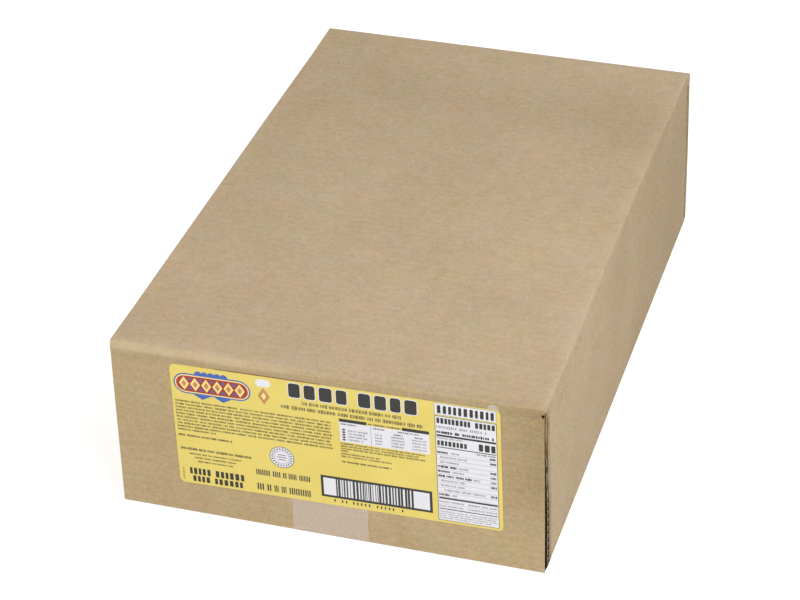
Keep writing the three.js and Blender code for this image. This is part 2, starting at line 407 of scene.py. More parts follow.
# These multiply the colour: painted shade where the liner is shaded, its random tone with fine and
# broad noises of these sizes, and painted light and shade from the front to the back of the sides and
# of the top.
KRAFT_SHADED = (0.74, 0.72, 0.66, 1.0)
KRAFT_HUES = (
    (3.2, 22.0, (0.978, 1.013, 1.09, 1.0), (1.022, 0.987, 0.91, 1.0)),
    (4.1, 29.0, (0.982, 1.03, 0.982, 1.0), (1.018, 0.97, 1.018, 1.0)),
)
FLAP_HUE = (1.0, 0.985, 0.85, 1.0)
# Painted light and shade from front to back: on the top, then on the sides.
TOP_PAINTED_LIGHT = ((0.95, 0.95, 0.95, 1.0), (1.03, 1.03, 1.03, 1.0))
SIDE_PAINTED_SHADE = ((0.945, 0.935, 0.87, 1.0), (0.875, 0.845, 0.755, 1.0))
FLAP_CONTRAST = 0.2  # how much stronger the mottling is on the flaps and the sides than on the top
SIDE_CONTRAST = 0.6
SPECKS = ((2.6, 0.16, 0.965), (19.0, 0.045, 0.8))  # how far apart, how wide, and how many are left out
CUT_LIGHT = srgb(156, 124, 88)
CUT_DARK = srgb(100, 72, 46)
# The colour of painted shade far inside the slots.
SLOT_SHADE_COLOUR = srgb(20, 10, 4)


def flute_lines(nodes):
    """Faint lines over the flutes, from 0 to 1. They run round the case and across its flaps."""
    _, y, z = nodes.split(nodes.place())
    on_flap = nodes.facing(1)
    on_panel = nodes.math("SUBTRACT", 1.0, on_flap)
    along = nodes.plus(nodes.times(y, on_panel), nodes.times(z, on_flap))
    wander = nodes.times(nodes.noise(FLUTE_WANDER["size"], detail=1.0), FLUTE_WANDER["most"])
    turns = nodes.times(nodes.plus(along, wander), 2 * math.pi / FLUTE_PITCH)
    return nodes.plus(nodes.times(nodes.math("SINE", turns), 0.5), 0.5)


def kraft():
    """Unbleached kraft liner: mottled, with short fibres, faint flute lines and a few specks.

    It has painted highlights, with a little wear, on the creases, over the front fold and in patches of
    the top, and painted shade under the fold, along the top's front edge, beside the open corner and in
    patches of the top. Painted light and shade grade the sides and the top from front to back, and
    painted shade makes it almost black, with no sheen, where a fold turns into a slot.
    """
    nodes = Nodes("kraft_liner")
    fibres = nodes.noise(1.0, rough=0.7, stretch=(1.0, 0.6, 1.0))
    flecks = nodes.noise(2.6, detail=2.0, rough=0.6, stretch=(0.8, 0.8, 1.0))
    blotches = nodes.noise(10.0)
    clouds = nodes.noise(75.0, detail=2.0)
    lines = flute_lines(nodes)
    on_side, on_flap, on_top = (nodes.facing(axis) for axis in range(3))
    contrast = nodes.plus(nodes.times(on_side, SIDE_CONTRAST), 1.0)
    contrast = nodes.plus(nodes.times(on_flap, FLAP_CONTRAST), contrast)
    tone = nodes.weighed(((fibres, 1.55), (flecks, 1.0), (blotches, 0.5), (clouds, 0.6),
                          (lines, 0.07)), contrast)
    colour = nodes.mix(tone, KRAFT_DARK, KRAFT_LIGHT)
    for fine, broad, low, high in KRAFT_HUES:
        swing = nodes.weighed(((nodes.noise(fine, rough=0.65), 2.0),
                               (nodes.noise(broad, rough=0.6), 1.6)))
        colour = nodes.mix(1.0, colour, nodes.mix(swing, low, high), "MULTIPLY")
    # Painted light and shade from the front to the back of the sides and the top, and the flaps'
    # yellower colour.
    to_back = nodes.ramp(nodes.split(nodes.place())[1], -HALF_LENGTH, HALF_LENGTH)
    for share, hue in ((on_side, nodes.mix(to_back, *SIDE_PAINTED_SHADE)), (on_flap, FLAP_HUE),
                       (on_top, nodes.mix(to_back, *TOP_PAINTED_LIGHT))):
        colour = nodes.mix(share, colour, hue, "MULTIPLY")
    # Painted highlight with a little wear, then painted shade, then the darker painted shade of the
    # slots.
    lit_and_worn = nodes.times(nodes.attribute("highlight_and_wear"), nodes.ramp(blotches, 0.3, 0.7, 0.75, 1.0))
    colour = nodes.mix(nodes.times(lit_and_worn, 0.5), colour, KRAFT_LIT_AND_WORN)
    colour = nodes.mix(nodes.attribute("painted_shade"), colour, KRAFT_SHADED, "MULTIPLY")
    colour = nodes.mix(nodes.attribute("slot_shade"), colour, SLOT_SHADE_COLOUR)
    for size, width, share in SPECKS:
        distance, pick = nodes.cells(size)
        speck = nodes.times(nodes.ramp(distance, width, width * 0.4),
                            nodes.math("GREATER_THAN", pick, share))
        colour = nodes.mix(nodes.times(speck, 0.7), colour, KRAFT_SPECK)
    return nodes.finish(Base_Color=colour, Roughness=nodes.ramp(blotches, 0.3, 0.7, 0.78, 0.9),
                        Specular_IOR_Level=nodes.ramp(nodes.attribute("slot_shade"), 0.0, 1.0, 0.3, 0.0),
                        Normal=nodes.bump((lines, 0.035), (blotches, 0.08), (fibres, 0.05)))


def cut_board():
    """The board's raw edge: darker, with coarse fibres; painted shade makes it almost black, with no
    sheen, far inside a slot.
    """
    nodes = Nodes("board_cut_edge")
    fibres = nodes.noise(0.7, detail=4.0, rough=0.7, stretch=(0.35, 1.0, 1.0))
    patches = nodes.noise(5.0)
    colour = nodes.mix(nodes.weighed(((fibres, 2.2), (patches, 1.2))), CUT_DARK, CUT_LIGHT)
    colour = nodes.mix(nodes.attribute("slot_shade"), colour, SLOT_SHADE_COLOUR)
    sheen = nodes.ramp(nodes.attribute("slot_shade"), 0.0, 1.0, 0.1, 0.0)
    return nodes.finish(Base_Color=colour, Roughness=0.95, Specular_IOR_Level=sheen,
                        Normal=nodes.bump((fibres, 0.12)))


def ink(name, colour, second, roughness):
    """A printed or plain coat on the label: even, with a light grain and the paper's soft waves."""
    nodes = Nodes(name)
    grain = nodes.noise(0.5, rough=0.6)
    cloud = nodes.noise(24.0)
    tone = nodes.ramp(nodes.weighed(((grain, 0.5), (cloud, 0.5))), *NOISE_MIDDLE)
    rough = nodes.ramp(cloud, *NOISE_MIDDLE, roughness - 0.04, roughness + 0.05)
    return nodes.finish(Base_Color=nodes.mix(tone, srgb(*colour), srgb(*second)), Roughness=rough,
                        Specular_IOR_Level=0.3,
                        Normal=nodes.bump((flute_lines(nodes), 0.02), (grain, 0.01)))


def film(name, colour, second, alpha_low, alpha_high):
    """Thin milky plastic film with small trapped bubbles and streaks under it."""
    nodes = Nodes(name)
    bubbles = nodes.noise(2.2, rough=0.6)
    streaks = nodes.noise(9.0, stretch=(0.35, 1.0, 1.0))
    tone = nodes.weighed(((bubbles, 0.45), (streaks, 0.55)))
    mixed = nodes.mix(nodes.ramp(tone, *NOISE_MIDDLE), srgb(*colour), srgb(*second))
    return nodes.finish(Base_Color=mixed, Alpha=nodes.ramp(tone, *NOISE_MIDDLE, alpha_low, alpha_high),
                        Roughness=0.28, Specular_IOR_Level=0.5,
                        Normal=nodes.bump((streaks, 0.05), (bubbles, 0.02)))


# ---- The carton ----

LINER_LOOK, RAW_LOOK = 0, 1  # places in the board's materials
PANEL_STEP = 8.0
FOLD_STEP = 2.0
FOLD_ZONE = (98.0, 120.0)  # heights at which the front flap bends most
CREASE_EDGE = 1.6  # just inside the rounding of the long creases
SLOT_ZONE = {"inward": 12.0, "back": 24.0, "from_z": 2.0, "step": 1.5}
SLOT_INSETS = (0.9, 1.5, 2.2, 3.2, 5.0)
SLOT_BACKS = (3.0, 5.2, 10.8, 13.2)
RAGGED = {False: 0.05, True: 0.14}  # of a shut and of the open corner
TORN = {"z": (76.0, 99.0), "depth": 0.8}
FRAY = {"inward": 2.0, "back": (0.01, 11.0), "from_z": 1.5, "least": 0.35}  # where, and how much
# Along the torn part of the open corner, the front face's rim is painted dark towards the slot shade
# colour: heights, how far in from the side, and how dark.
TORN_RIM = {"z": (70.0, 100.0), "inward": 0.9, "slot_shade": 0.9}  # the front liner's brown rim
PINHOLE = {"x": 138.3, "z": 118.1, "reach": 1.0, "wider": 1.2, "higher": 1.9}
MERGE = 1e-3
FLAT_ANGLE = math.radians(0.3)
SHARP_ANGLE = math.radians(24.0)

# Painted highlight along the right top crease, and a little wear along the left one: how far it
# reaches, and how much on the right and on the left.
CREASE_HIGHLIGHT_AND_WEAR = {"reach": 2.6, "right": 0.5, "other": 0.12}
# Painted highlight along the back end: how far from the end it reaches, and its most.
BACK_HIGHLIGHT = {"reach": 9.0, "most": 0.35}
# Painted highlight on the top behind the front fold, and on its crushed facet and just under it.
FOLD_HIGHLIGHT = {"above": 0.4, "facet": 0.9}  # over the crushed facet, and on it and under it
# Broad soft patches on the top panel, first of painted light and then of painted shade: x, y, how far
# they reach in x and in y, and their most.
TOP_HIGHLIGHTS = ((95.0, -40.0, 45.0, 75.0, 0.32), (75.0, 213.0, 42.0, 14.0, 0.5))
TOP_SHADES = ((0.0, 130.0, 400.0, 50.0, 0.2), (-125.0, 60.0, 22.0, 170.0, 0.13))
TOP_EDGE = 0.4  # farther from the end than this is the top, and not the flap
# At each x: how far below the crushed facet its painted highlight reaches, and where the painted shade
# under the fold is darkest.
FOLD_FOOT = {"x": (-140.0, -90.0), "lit_and_worn": (6.0, 2.5), "shaded": (5.2, 2.6)}
# Painted shade under the front fold: how far it reaches, and its most.
UNDER_FOLD_SHADE = {"reach": 4.5, "most": 0.22}
# Painted shade along the top's front edge: at each x, its most and how far back it reaches.
EDGE_SHADE = {"x": (-40.0, 15.0, 90.0, 136.0), "most": (0.0, 0.42, 0.42, 0.46),
             "reach": (4.0, 4.0, 6.0, 13.0)}
# Painted shade on the front flap beside the open corner: at each x its most, rising over these heights.
RIGHT_SHADE = {"x": (104.0, 118.0, 136.0), "most": (0.0, 0.3, 0.8)}
RIGHT_SHADE_Z = (18.0, 72.0)

# How much painted shade darkens the raw board, from 0 to 1, at each height of the open corner: on the
# outer flap's cut edge and on the inner flap's, which also takes painted shade towards its two skins.
OPEN_DEEP = {
    "z": (44.0, 52.0, 66.0, 74.0, 97.0, 101.0),
    "outer": (0.95, 0.95, 0.85, 0.8, 0.6, 0.1),
    "inner": (0.38, 0.5, 0.7, 0.85, 0.85, 0.8),
}
INNER_SHADE = {"across": (0.18, 0.28, 0.7, 0.95), "slot_shade": (0.95, 0.0, 0.0, 0.75)}
# The most painted shade, far inside a slot, and how far behind the rim it starts and is darkest.
DEEPEST = 0.95
DEEPENING = (0.1, 1.4)  # how far behind the rim it starts to get dark, and is darkest
# Painted shade in the slots: between the flaps, in the groove, on the fold that turns in and on the
# bottom panel beside it.
GAP_DEEP = {False: 0.1, True: 1.0}  # between the flaps of a shut and of the open corner
GROOVE_DEEP = {False: 0.0, True: 0.82}
GROOVE_ENDS = (108.0, 119.0)  # over these heights the groove's darkness fades
FOLD_DEEP = (0.12, 0.27)  # where a fold is light and dark, as shares of its radius
FOLD_LEAST_SHADE = 0.21  # the least darkness between them on the open corner
FLOOR_DEEP = 0.45  # the bottom panel's skin beside a fold


def from_edges(point):
    """How far a point of the upright case lies in from the side panels and from the ends."""
    return HALF_WIDTH - abs(point[0]), HALF_LENGTH - abs(point[1])


def in_slot_zone(point):
    inward, back = from_edges(point)
    return inward < SLOT_ZONE["inward"] and back < SLOT_ZONE["back"]


def slot_depth(gaps):
    """How far back from an end its slots reach, up to the fold of the side panel."""
    return BOARD + gaps["gap"] + gaps["board"] + gaps["groove"]


Spot = namedtuple("Spot", "z inward back slot gaps is_open")


def spot_of(face):
    """Where the middle of a face lies, and what the slot of its corner measures at its height."""
    x, y, z = face.calc_center_median()
    slot = slot_of(x, y)
    return Spot(z, *from_edges((x, y)), slot, look_up(slot, z), slot is OPEN_SLOT)


def is_cut_face(face, spot):
    """Whether a face belongs to a slot or to a flap's lower edge."""
    is_underside = spot.z < FLAP_LIFT - FLAP_SAG - NEAR and face.normal.z < -0.5
    if spot.z > spot.slot["z"][-1] + LOOSE or spot.back < TOUCH or is_underside:
        return False
    return spot.back < slot_depth(spot.gaps) + TOUCH


def on_top_panel(z):
    return z > HEIGHT - 0.5


def in_patches(patches, x, y):
    """The most that any of the patches does at a point of the top panel."""
    return max(most * bell(x - mid_x, reach_x) * bell(y - mid_y, reach_y)
               for mid_x, mid_y, reach_x, reach_y, most in patches)


def highlight_and_wear_of(point):
    """How much painted highlight lightens the liner: most over the front fold, then along the right top
    crease, the back end and patches of the top; along the left top crease it is a little wear.
    """
    x, y, z = point
    inward, back = from_edges(point)
    below = HEIGHT - z
    side = CREASE_HIGHLIGHT_AND_WEAR["right" if x > 0 else "other"]
    crease = side * bell(math.hypot(inward, below), CREASE_HIGHLIGHT_AND_WEAR["reach"])
    if on_top_panel(z):
        crease = max(crease, in_patches(TOP_HIGHLIGHTS, x, y))
    if y > 0:
        return max(crease, BACK_HIGHLIGHT["most"] * fade(back, BACK_HIGHLIGHT["reach"]))
    fold = look_up(FOLD, x, "x")
    if below < fold["facet_top"] - NEAR:
        highlight_and_wear = FOLD_HIGHLIGHT["above"] * fade(back, fold["reach"])
    elif below < fold["facet_foot"] + NEAR:
        highlight_and_wear = FOLD_HIGHLIGHT["facet"]
    else:
        reach = look_up(FOLD_FOOT, x, "x")["lit_and_worn"]
        highlight_and_wear = FOLD_HIGHLIGHT["facet"] * fade(below - fold["facet_foot"], reach)
    return max(crease, highlight_and_wear * (1.0 - fold["tight"]))


def painted_shade_of(point):
    """How much painted shade darkens the liner: over and under the front fold, beside the open corner,
    and on the shaded patches of the top."""
    x, y, z = point
    back = from_edges(point)[1]
    shaded_patch = in_patches(TOP_SHADES, x, y) if on_top_panel(z) else 0.0
    if y > 0:
        return shaded_patch
    fold_line = HEIGHT - look_up(FOLD, x, "x")["drop"]
    if back > TOP_EDGE:
        edge = look_up(EDGE_SHADE, x, "x")
        return max(shaded_patch, edge["most"] * fade(back, edge["reach"]) * float(z > fold_line))
    from_line = fold_line - look_up(FOLD_FOOT, x, "x")["shaded"] - z
    under = UNDER_FOLD_SHADE["most"] * bell(from_line, UNDER_FOLD_SHADE["reach"])
    beside = look_up(RIGHT_SHADE, x, "x")["most"] * float(smooth(*RIGHT_SHADE_Z, z))
    return between(under, 1.0, beside)


def edge_deep(slot, z, inner, across):
    """How much painted shade a flap's cut edge takes at its rim, at a share of the way across the
    board.
    """
    if slot is not OPEN_SLOT:
        return 0.0
    if not inner:
        return look_up(OPEN_DEEP, z)["outer"]
    return max(look_up(OPEN_DEEP, z)["inner"], look_up(INNER_SHADE, across, "across")["slot_shade"])


def cut_deep(face, spot):
    """How much painted shade each corner of a cut face takes, from 0 to 1 for far inside a slot."""
    behind = BOARD + spot.gaps["gap"]
    if spot.inward > 2.0 * SLOT_ZONE["inward"] and spot.z < FLAP_LIFT + LOOSE:
        return [0.0] * len(face.verts)
    if spot.z < SLOT_FLOOR + NEAR or spot.back > behind + spot.gaps["board"] - TOUCH:
        return [GROOVE_DEEP[spot.is_open]] * len(face.verts)
    if BOARD - TOUCH < spot.back < behind + TOUCH:
        return [GAP_DEEP[spot.is_open]] * len(face.verts)
    inner = spot.back > behind
    rim, start, board = flap_edge(spot.gaps, inner)
    depths = []
    for inward, back in (from_edges(vert.co) for vert in face.verts):
        least = edge_deep(spot.slot, spot.z, inner, (back - start) / board)
        depths.append(between(least, DEEPEST, float(smooth(*DEEPENING, inward - rim))))
    return depths


def liner_deep(face, spot):
    """How much painted shade each corner of a face of liner takes beside a slot: on the side panel's
    fold, where it turns in, and along the front rim where the open corner is torn."""
    insets = [from_edges(vert.co)[0] for vert in face.verts]
    most = GROOVE_DEEP[spot.is_open] * (1.0 - float(smooth(*GROOVE_ENDS, spot.z)))
    if abs(spot.z - SLOT_FLOOR) < NEAR:
        return [FLOOR_DEEP * most] * len(insets)
    if SLOT_FLOOR < spot.z < spot.slot["z"][-1]:
        if spot.back > slot_depth(spot.gaps) and spot.inward > TOUCH:
            shares = [float(smooth(*FOLD_DEEP, inset / spot.gaps["fold"])) for inset in insets]
            return [most * max(FOLD_LEAST_SHADE * (inset > TOUCH), share)
                    for inset, share in zip(insets, shares)]
        if spot.back < TOUCH and spot.is_open:
            torn = TORN_RIM["slot_shade"] * float(smooth(*TORN_RIM["z"], spot.z))
            return [torn * float(inset < TORN_RIM["inward"] - LOOSE) for inset in insets]
    return [0.0] * len(insets)


def fray(bm):
    """Roughens the raw edges of the flaps, most where the open corner is torn."""
    raw = {vert for face in bm.faces if face.material_index == RAW_LOOK for vert in face.verts}
    for vert in raw:
        x, y, z = vert.co
        inward, back = from_edges((x, y))
        nearest, farthest = FRAY["back"]
        if inward > FRAY["inward"] or z < FRAY["from_z"] or not nearest < back < farthest:
            continue
        is_open = slot_of(x, y) is OPEN_SLOT
        torn = is_open and TORN["z"][0] < z < TORN["z"][1]
        depth = TORN["depth"] if torn else RAGGED[is_open]
        bite = noise.noise(Vector((back * 1.7, z * 0.9, inward * 3.0)))
        bite += 0.5 * noise.noise(Vector((back * 3.1, z * 2.3, 5.0)))
        vert.co.x -= math.copysign(depth * max(0.0, FRAY["least"] + bite), x)


def sag_flaps(bm):
    """Lets the lower edges of the outer flaps hang closer to the ground."""
    for vert in bm.verts:
        if from_edges(vert.co)[1] < BOARD + LOOSE and abs(vert.co.z - FLAP_LIFT) < NEAR:
            vert.co.z -= FLAP_SAG


def widen_pinhole(bm):
    """Tears the pinhole beside the open corner a little wider and higher."""
    for vert in bm.verts:
        across, up = vert.co.x - PINHOLE["x"], vert.co.z - PINHOLE["z"]
        if vert.co.y < 0 and math.hypot(across, up) < PINHOLE["reach"]:
            vert.co.x += across * (PINHOLE["wider"] - 1.0)
            vert.co.z += up * (PINHOLE["higher"] - 1.0)


def slot_faces(bm):
    return [face for face in bm.faces if in_slot_zone(face.calc_center_median())]


def carton(materials):
    """The CAD carton with finer panels, so that they can bend, and raw board on its cut edges."""
    bm = bmesh.new()
    bm.from_mesh(frame["nodes"]["carton"].data)
    for vert, point in zip(bm.verts, upright([v.co for v in bm.verts])):
        vert.co = point
    bmesh.ops.remove_doubles(bm, verts=bm.verts, dist=MERGE)
    bmesh.ops.dissolve_limit(bm, angle_limit=FLAT_ANGLE, verts=bm.verts, edges=bm.edges)
    sag_flaps(bm)
    widen_pinhole(bm)

    across = HALF_WIDTH - CREASE_EDGE
    along = HALF_LENGTH - PANEL_STEP
    bisect(bm, ACROSS, spread(-across, across, PANEL_STEP))
    bisect(bm, ALONG, spread(-along, along, PANEL_STEP))
    bisect(bm, UP, spread(CREASE_EDGE, FOLD_ZONE[0], PANEL_STEP))
    bisect(bm, UP, spread(*FOLD_ZONE, FOLD_STEP))
    bisect(bm, UP, (SLOT_FLOOR,), slot_faces)
    bisect(bm, UP, spread(SLOT_ZONE["from_z"], OPEN_SLOT["z"][-1], SLOT_ZONE["step"]), slot_faces)
    for axis, half, insets in ((ACROSS, HALF_WIDTH, SLOT_INSETS), (ALONG, HALF_LENGTH, SLOT_BACKS)):
        for inset in insets:
            bisect(bm, axis, (inset - half, half - inset), slot_faces)
    bm.normal_update()
    # Painted shade in the slots, on the folds that turn into them and along the open corner's front
    # rim.
    slot_shade = bm.loops.layers.float.new("slot_shade")
    for face in bm.faces:
        spot = spot_of(face)
        if is_cut_face(face, spot):
            # A shut corner is pressed flat, and pale like the liner.
            shows_raw_board = spot.is_open or spot.z < FLAP_LIFT + LOOSE
            face.material_index = RAW_LOOK if shows_raw_board else LINER_LOOK
            depths = cut_deep(face, spot)
        elif in_slot_zone(face.calc_center_median()):
            depths = liner_deep(face, spot)
        else:
            continue
        for loop, depth in zip(face.loops, depths):
            loop[slot_shade] = depth
    # Painted highlight, with a little wear, and painted shade for each point of the liner.
    tones = {"highlight_and_wear": [highlight_and_wear_of(vert.co) for vert in bm.verts],
             "painted_shade": [painted_shade_of(vert.co) for vert in bm.verts]}
    fray(bm)
    bmesh.ops.triangulate(bm, faces=[f for f in bm.faces if len(f.verts) > 4])
    piece = add_piece("carton_board", bm, materials, ("carton",), SHARP_ANGLE)
    for name, values in tones.items():
        piece.data.attributes.new(name, "FLOAT", "POINT").data.foreach_set("value", values)
    piece.modifiers.new("even_panels", "WEIGHTED_NORMAL").keep_sharp = True


# ---- The fluted paper inside the board ----

MEDIUM_THICKNESS = {False: 0.3, True: 0.8}  # of the shut and outer flaps', and the open inner's
MEDIUM_SET_BACK = {False: 0.5, True: 0.1}
MEDIUM_DEPTH = 1.6  # how far behind the liners' rim it reaches
# The medium's edge takes painted shade too, as a share of the liners'.
MEDIUM_DEEP = 0.85  # how dark its edge is, as a share of the liners' darkness
MEDIUM_ENDS = 0.3  # it stops this far short of the flap's ends
STEPS_PER_FLUTE = 14
MEDIUM_FRAY = 0.12


def fluted_strip(bm, tone, side, end, slot, inner, rng):
    """One waved strip of medium in the hollow edge of an outer or inner flap."""
    rings = []
    steps = int((slot["z"][-1] - FLAP_LIFT - 2 * MEDIUM_ENDS) / FLUTE_PITCH * STEPS_PER_FLUTE)
    start = rng.uniform(0.0, 2 * math.pi)
    splayed = inner and slot is OPEN_SLOT
    thickness = MEDIUM_THICKNESS[splayed]
    for i in range(steps + 1):
        z = FLAP_LIFT + MEDIUM_ENDS + i * FLUTE_PITCH / STEPS_PER_FLUTE
        inset, face, board = flap_edge(look_up(slot, z), inner)
        swing = board / 2 - LINER - thickness / 2
        turn = start + 2 * math.pi * i / STEPS_PER_FLUTE
        slope = swing * 2 * math.pi / FLUTE_PITCH * math.cos(turn)
        level = Vector((1.0, -slope)).normalized() * thickness / 2
        middle = face + board / 2 + swing * math.sin(turn)
        near = max(inset, inset + MEDIUM_SET_BACK[inner] + rng.uniform(-1, 1) * MEDIUM_FRAY)
        far = inset + MEDIUM_DEPTH
        # Painted shade on the medium's edge, as on the liners' rim, and full painted shade behind it.
        rim_deep = MEDIUM_DEEP * edge_deep(slot, z, inner, (middle - face) / board)
        ring = []
        for inward, slot_shade, sign in ((near, rim_deep, -1), (near, rim_deep, 1), (far, DEEPEST, 1),
                                   (far, DEEPEST, -1)):
            back = middle + sign * level.x
            place = (side * (HALF_WIDTH - inward), end * (HALF_LENGTH - back), z + sign * level.y)
            ring.append(bm.verts.new(place))
            ring[-1][tone] = slot_shade
        rings.append(ring)
    close_tube(bm, rings, LINER_LOOK if splayed else RAW_LOOK)


def fluted_medium(materials):
    rng = random.Random(11)
    bm = bmesh.new()
    tone = bm.verts.layers.float.new("slot_shade")
    for (side, end), slot in SLOTS.items():
        for inner in (False, True):
            fluted_strip(bm, tone, side, end, slot, inner, rng)
    add_piece("fluted_medium", bm, materials, sharp=SHARP_ANGLE)


# Loose shreds of paper along the open corner: heights, how far back and inward the middle lies,
# width, and whether the shred is liner, or bare brown paper.
SHREDS = (
    (95.0, 120.0, 2.6, 0.25, 4.4, RAW_LOOK),
    (86.0, 98.0, 2.0, 0.3, 1.2, RAW_LOOK),
    (79.0, 86.0, 4.2, 0.35, 0.9, LINER_LOOK),
    (64.0, 74.0, 4.8, 0.25, 1.5, LINER_LOOK),
    (52.0, 61.0, 6.0, 0.25, 1.2, LINER_LOOK),
)
SHRED_THICKNESS = 0.2
SHRED_STEPS = 12
SHRED_WANDER = 0.7
SHRED_CURL = 0.15


def shreds(materials):
    bm = bmesh.new()
    for k, (low, high, back, inward, width, look) in enumerate(SHREDS):
        seed = 3.0 + 1.7 * k
        rings = []
        for i in range(SHRED_STEPS + 1):
            share = i / SHRED_STEPS
            z = between(low, high, share)
            wander = SHRED_WANDER * noise.noise(Vector((z / 5.0, seed, 0.0)))
            half = 0.5 * width * (0.25 + 0.75 * math.sin(math.pi * share)) * (1.0 + 0.4 * wander)
            lift = inward + SHRED_CURL * noise.noise(Vector((z / 4.0, seed, 9.0)))
            under = lift + SHRED_THICKNESS
            rings.append([
                bm.verts.new((HALF_WIDTH - max(depth, NEAR), back + wander + aside - HALF_LENGTH, z))
                for depth, aside in ((lift, -half), (lift, half), (under, half), (under, -half))])
        close_tube(bm, rings, look)
    add_piece("torn_shreds", bm, materials)


# ---- Tape ----

TAPE = {"width": 50.0, "top": 72.0, "under": 56.0, "bend": 0.35}
TAPE_X = {"front": 0.6, "back": -1.5}
TAPE_SHARP_ANGLE = math.radians(40.0)
TAPE_FILM = ((208, 190, 174), (190, 172, 153), 0.36, 0.62)
FILM_THICKNESS = 0.06
FILM_RIPPLE = 0.015
FILM_OFF_FACE = 0.02
FILM_FLOOR = 0.24
FILM_STEP = 0.8
TOOTH = 0.7


def tape_path():
    """The film's inner line as (outward, z): outward is from the flap's face, minus inwards."""
    bend = TAPE["bend"]
    face, floor = FILM_OFF_FACE, FILM_FLOOR + FILM_THICKNESS
    down = [(face, z) for z in spread(TAPE["top"], floor + bend, -3.0 * FILM_STEP)]
    turn = [polar(face - bend, floor + bend, bend, -a) for a in spread(0.0, math.pi / 2, math.pi / 10)]
    under = [(out, floor) for out in spread(face - bend, -TAPE["under"], -3.0 * FILM_STEP)]
    return down + turn[1:-1] + under


def tape(name, node, x, end, material):
    """A strip of film down a flap and in under the case, with its two ends cut in teeth."""
    path = tape_path()
    columns = spread(-TAPE["width"] / 2, TAPE["width"] / 2, FILM_STEP)
    last_row, last_column = len(path) - 1, len(columns) - 1
    bm = bmesh.new()
    inner, outer = [], []
    for grid, layer in ((inner, 0.0), (outer, FILM_THICKNESS)):
        for i, (out, z) in enumerate(path):
            before, after = path[max(i - 1, 0)], path[min(i + 1, last_row)]
            along = Vector((after[0] - before[0], after[1] - before[1])).normalized()
            row = []
            for k, column in enumerate(columns):
                shift = TOOTH * (k % 2) * ((i == 0) - (i == last_row))
                ripple = FILM_RIPPLE * noise.noise(Vector((column / 3.0, i / 2.0, end * 9.0)))
                thick = layer + (ripple if layer else 0.0)
                outward = out - along.y * thick + along.x * shift
                height = z + along.x * thick + along.y * shift
                row.append(bm.verts.new((x + column, end * (HALF_LENGTH + outward), height)))
            grid.append(row)
    for i in range(last_row):
        for k in range(last_column):
            for grid in (inner, outer):
                bm.faces.new((grid[i][k], grid[i][k + 1], grid[i + 1][k + 1], grid[i + 1][k]))
        for k in (0, last_column):
            bm.faces.new((inner[i][k], inner[i + 1][k], outer[i + 1][k], outer[i][k]))
    for k in range(last_column):
        for i in (0, last_row):
            bm.faces.new((inner[i][k], inner[i][k + 1], outer[i][k + 1], outer[i][k]))
    add_piece(name, bm, (material,), (node,), TAPE_SHARP_ANGLE)


# ---- Round sticker ----

STICKER_RINGS = 4
STICKER_SIDES = 48
STICKER_FILM = ((199, 188, 174), (180, 168, 152), 0.6, 0.78)


def sticker():
    low, high = (upright(corner)[0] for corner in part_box("dot_sticker"))
    centre = (low + high) / 2
    radius = (high[0] - low[0]) / 2
    sides = range(STICKER_SIDES)
    bm = bmesh.new()
    rims = []
    for off in (FILM_OFF_FACE, FILM_OFF_FACE + FILM_THICKNESS):
        y = -HALF_LENGTH - off
        middle = bm.verts.new((centre[0], y, centre[2]))
        rings = []
        for k in range(1, STICKER_RINGS + 1):
            places = [polar(centre[0], centre[2], radius * k / STICKER_RINGS,
                            2 * math.pi * i / STICKER_SIDES) for i in sides]
            rings.append([bm.verts.new((px, y, pz)) for px, pz in places])
        for i in sides:
            bm.faces.new((middle, rings[0][i - 1], rings[0][i]))
            for near, far in zip(rings, rings[1:]):
                bm.faces.new((near[i - 1], far[i - 1], far[i], near[i]))
        rims.append(rings[-1])
    for i in sides:
        bm.faces.new((rims[0][i - 1], rims[0][i], rims[1][i], rims[1][i - 1]))
    add_piece("dot_sticker_film", bm, (film("clear_film", *STICKER_FILM),),
              ("dot_sticker",))


# ---- The label ----

LABEL = {"width": 213.0, "height": 90.0, "radius": 3.5, "tilt": math.radians(1.1)}
LABEL_DROP = 0.5  # the paper lies this much lower than its CAD solid
label_low, label_high = (upright(corner)[0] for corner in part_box("label"))
LABEL_CENTRE = (label_low + label_high) / 2 - np.array((0.0, 0.0, LABEL_DROP))
LABEL_PAPER = ((202, 184, 98), (196, 177, 88), 0.42)
SHEET = (0.10, 0.22)  # the sheet's two faces, out from the flap
PRINT_STEP = 0.03  # each coat of print stands this much prouder than the one under it
PRINT_SEED = 7
LABEL_GRID = 8.0
LABEL_FOLD_GRID = 2.0
LABEL_FOLD_ZONE = 16.0
CORNER_STEPS = {"sheet": 8, "print": 4}
# A thin strip of painted shadow peeping out above the label's top edge: from left to right, how high
# above the edge it shows at most, how far under the label it goes, how far out from the flap, and its
# step.
LABEL_SHADOW = {"left": 26.0, "right": 101.0, "high": 0.55, "low": 0.3, "off": 0.04, "step": 4.0}
LABEL_SHADOW_LOOK = ((134, 84, 50), (116, 70, 42), 0.6)

INKS = {
    "black": ((45, 45, 41), (38, 38, 35), 0.45),
    "soft": ((84, 78, 52), (76, 70, 47), 0.45),
    "white": ((203, 202, 207), (197, 196, 202), 0.42),
    "blue": ((52, 82, 148), (62, 92, 158), 0.42),
    "red": ((152, 52, 38), (138, 46, 34), 0.42),
    "cream": ((222, 200, 138), (216, 190, 120), 0.42),
    "tan": ((176, 128, 74), (164, 116, 66), 0.42),
    "grey": ((134, 133, 136), (122, 121, 124), 0.45),
}


def rounded(left, top, right, bottom, radius, steps):
    """A rectangle with round corners, in the label's own millimetres from its top left."""
    if radius <= 0:
        return [(left, top), (left, bottom), (right, bottom), (right, top)]
    return [polar(u, v, radius, math.radians(start - 90.0 * i / steps)) for u, v, start in (
        (left + radius, top + radius, 270), (left + radius, bottom - radius, 180),
        (right - radius, bottom - radius, 90), (right - radius, top + radius, 0))
        for i in range(steps + 1)]


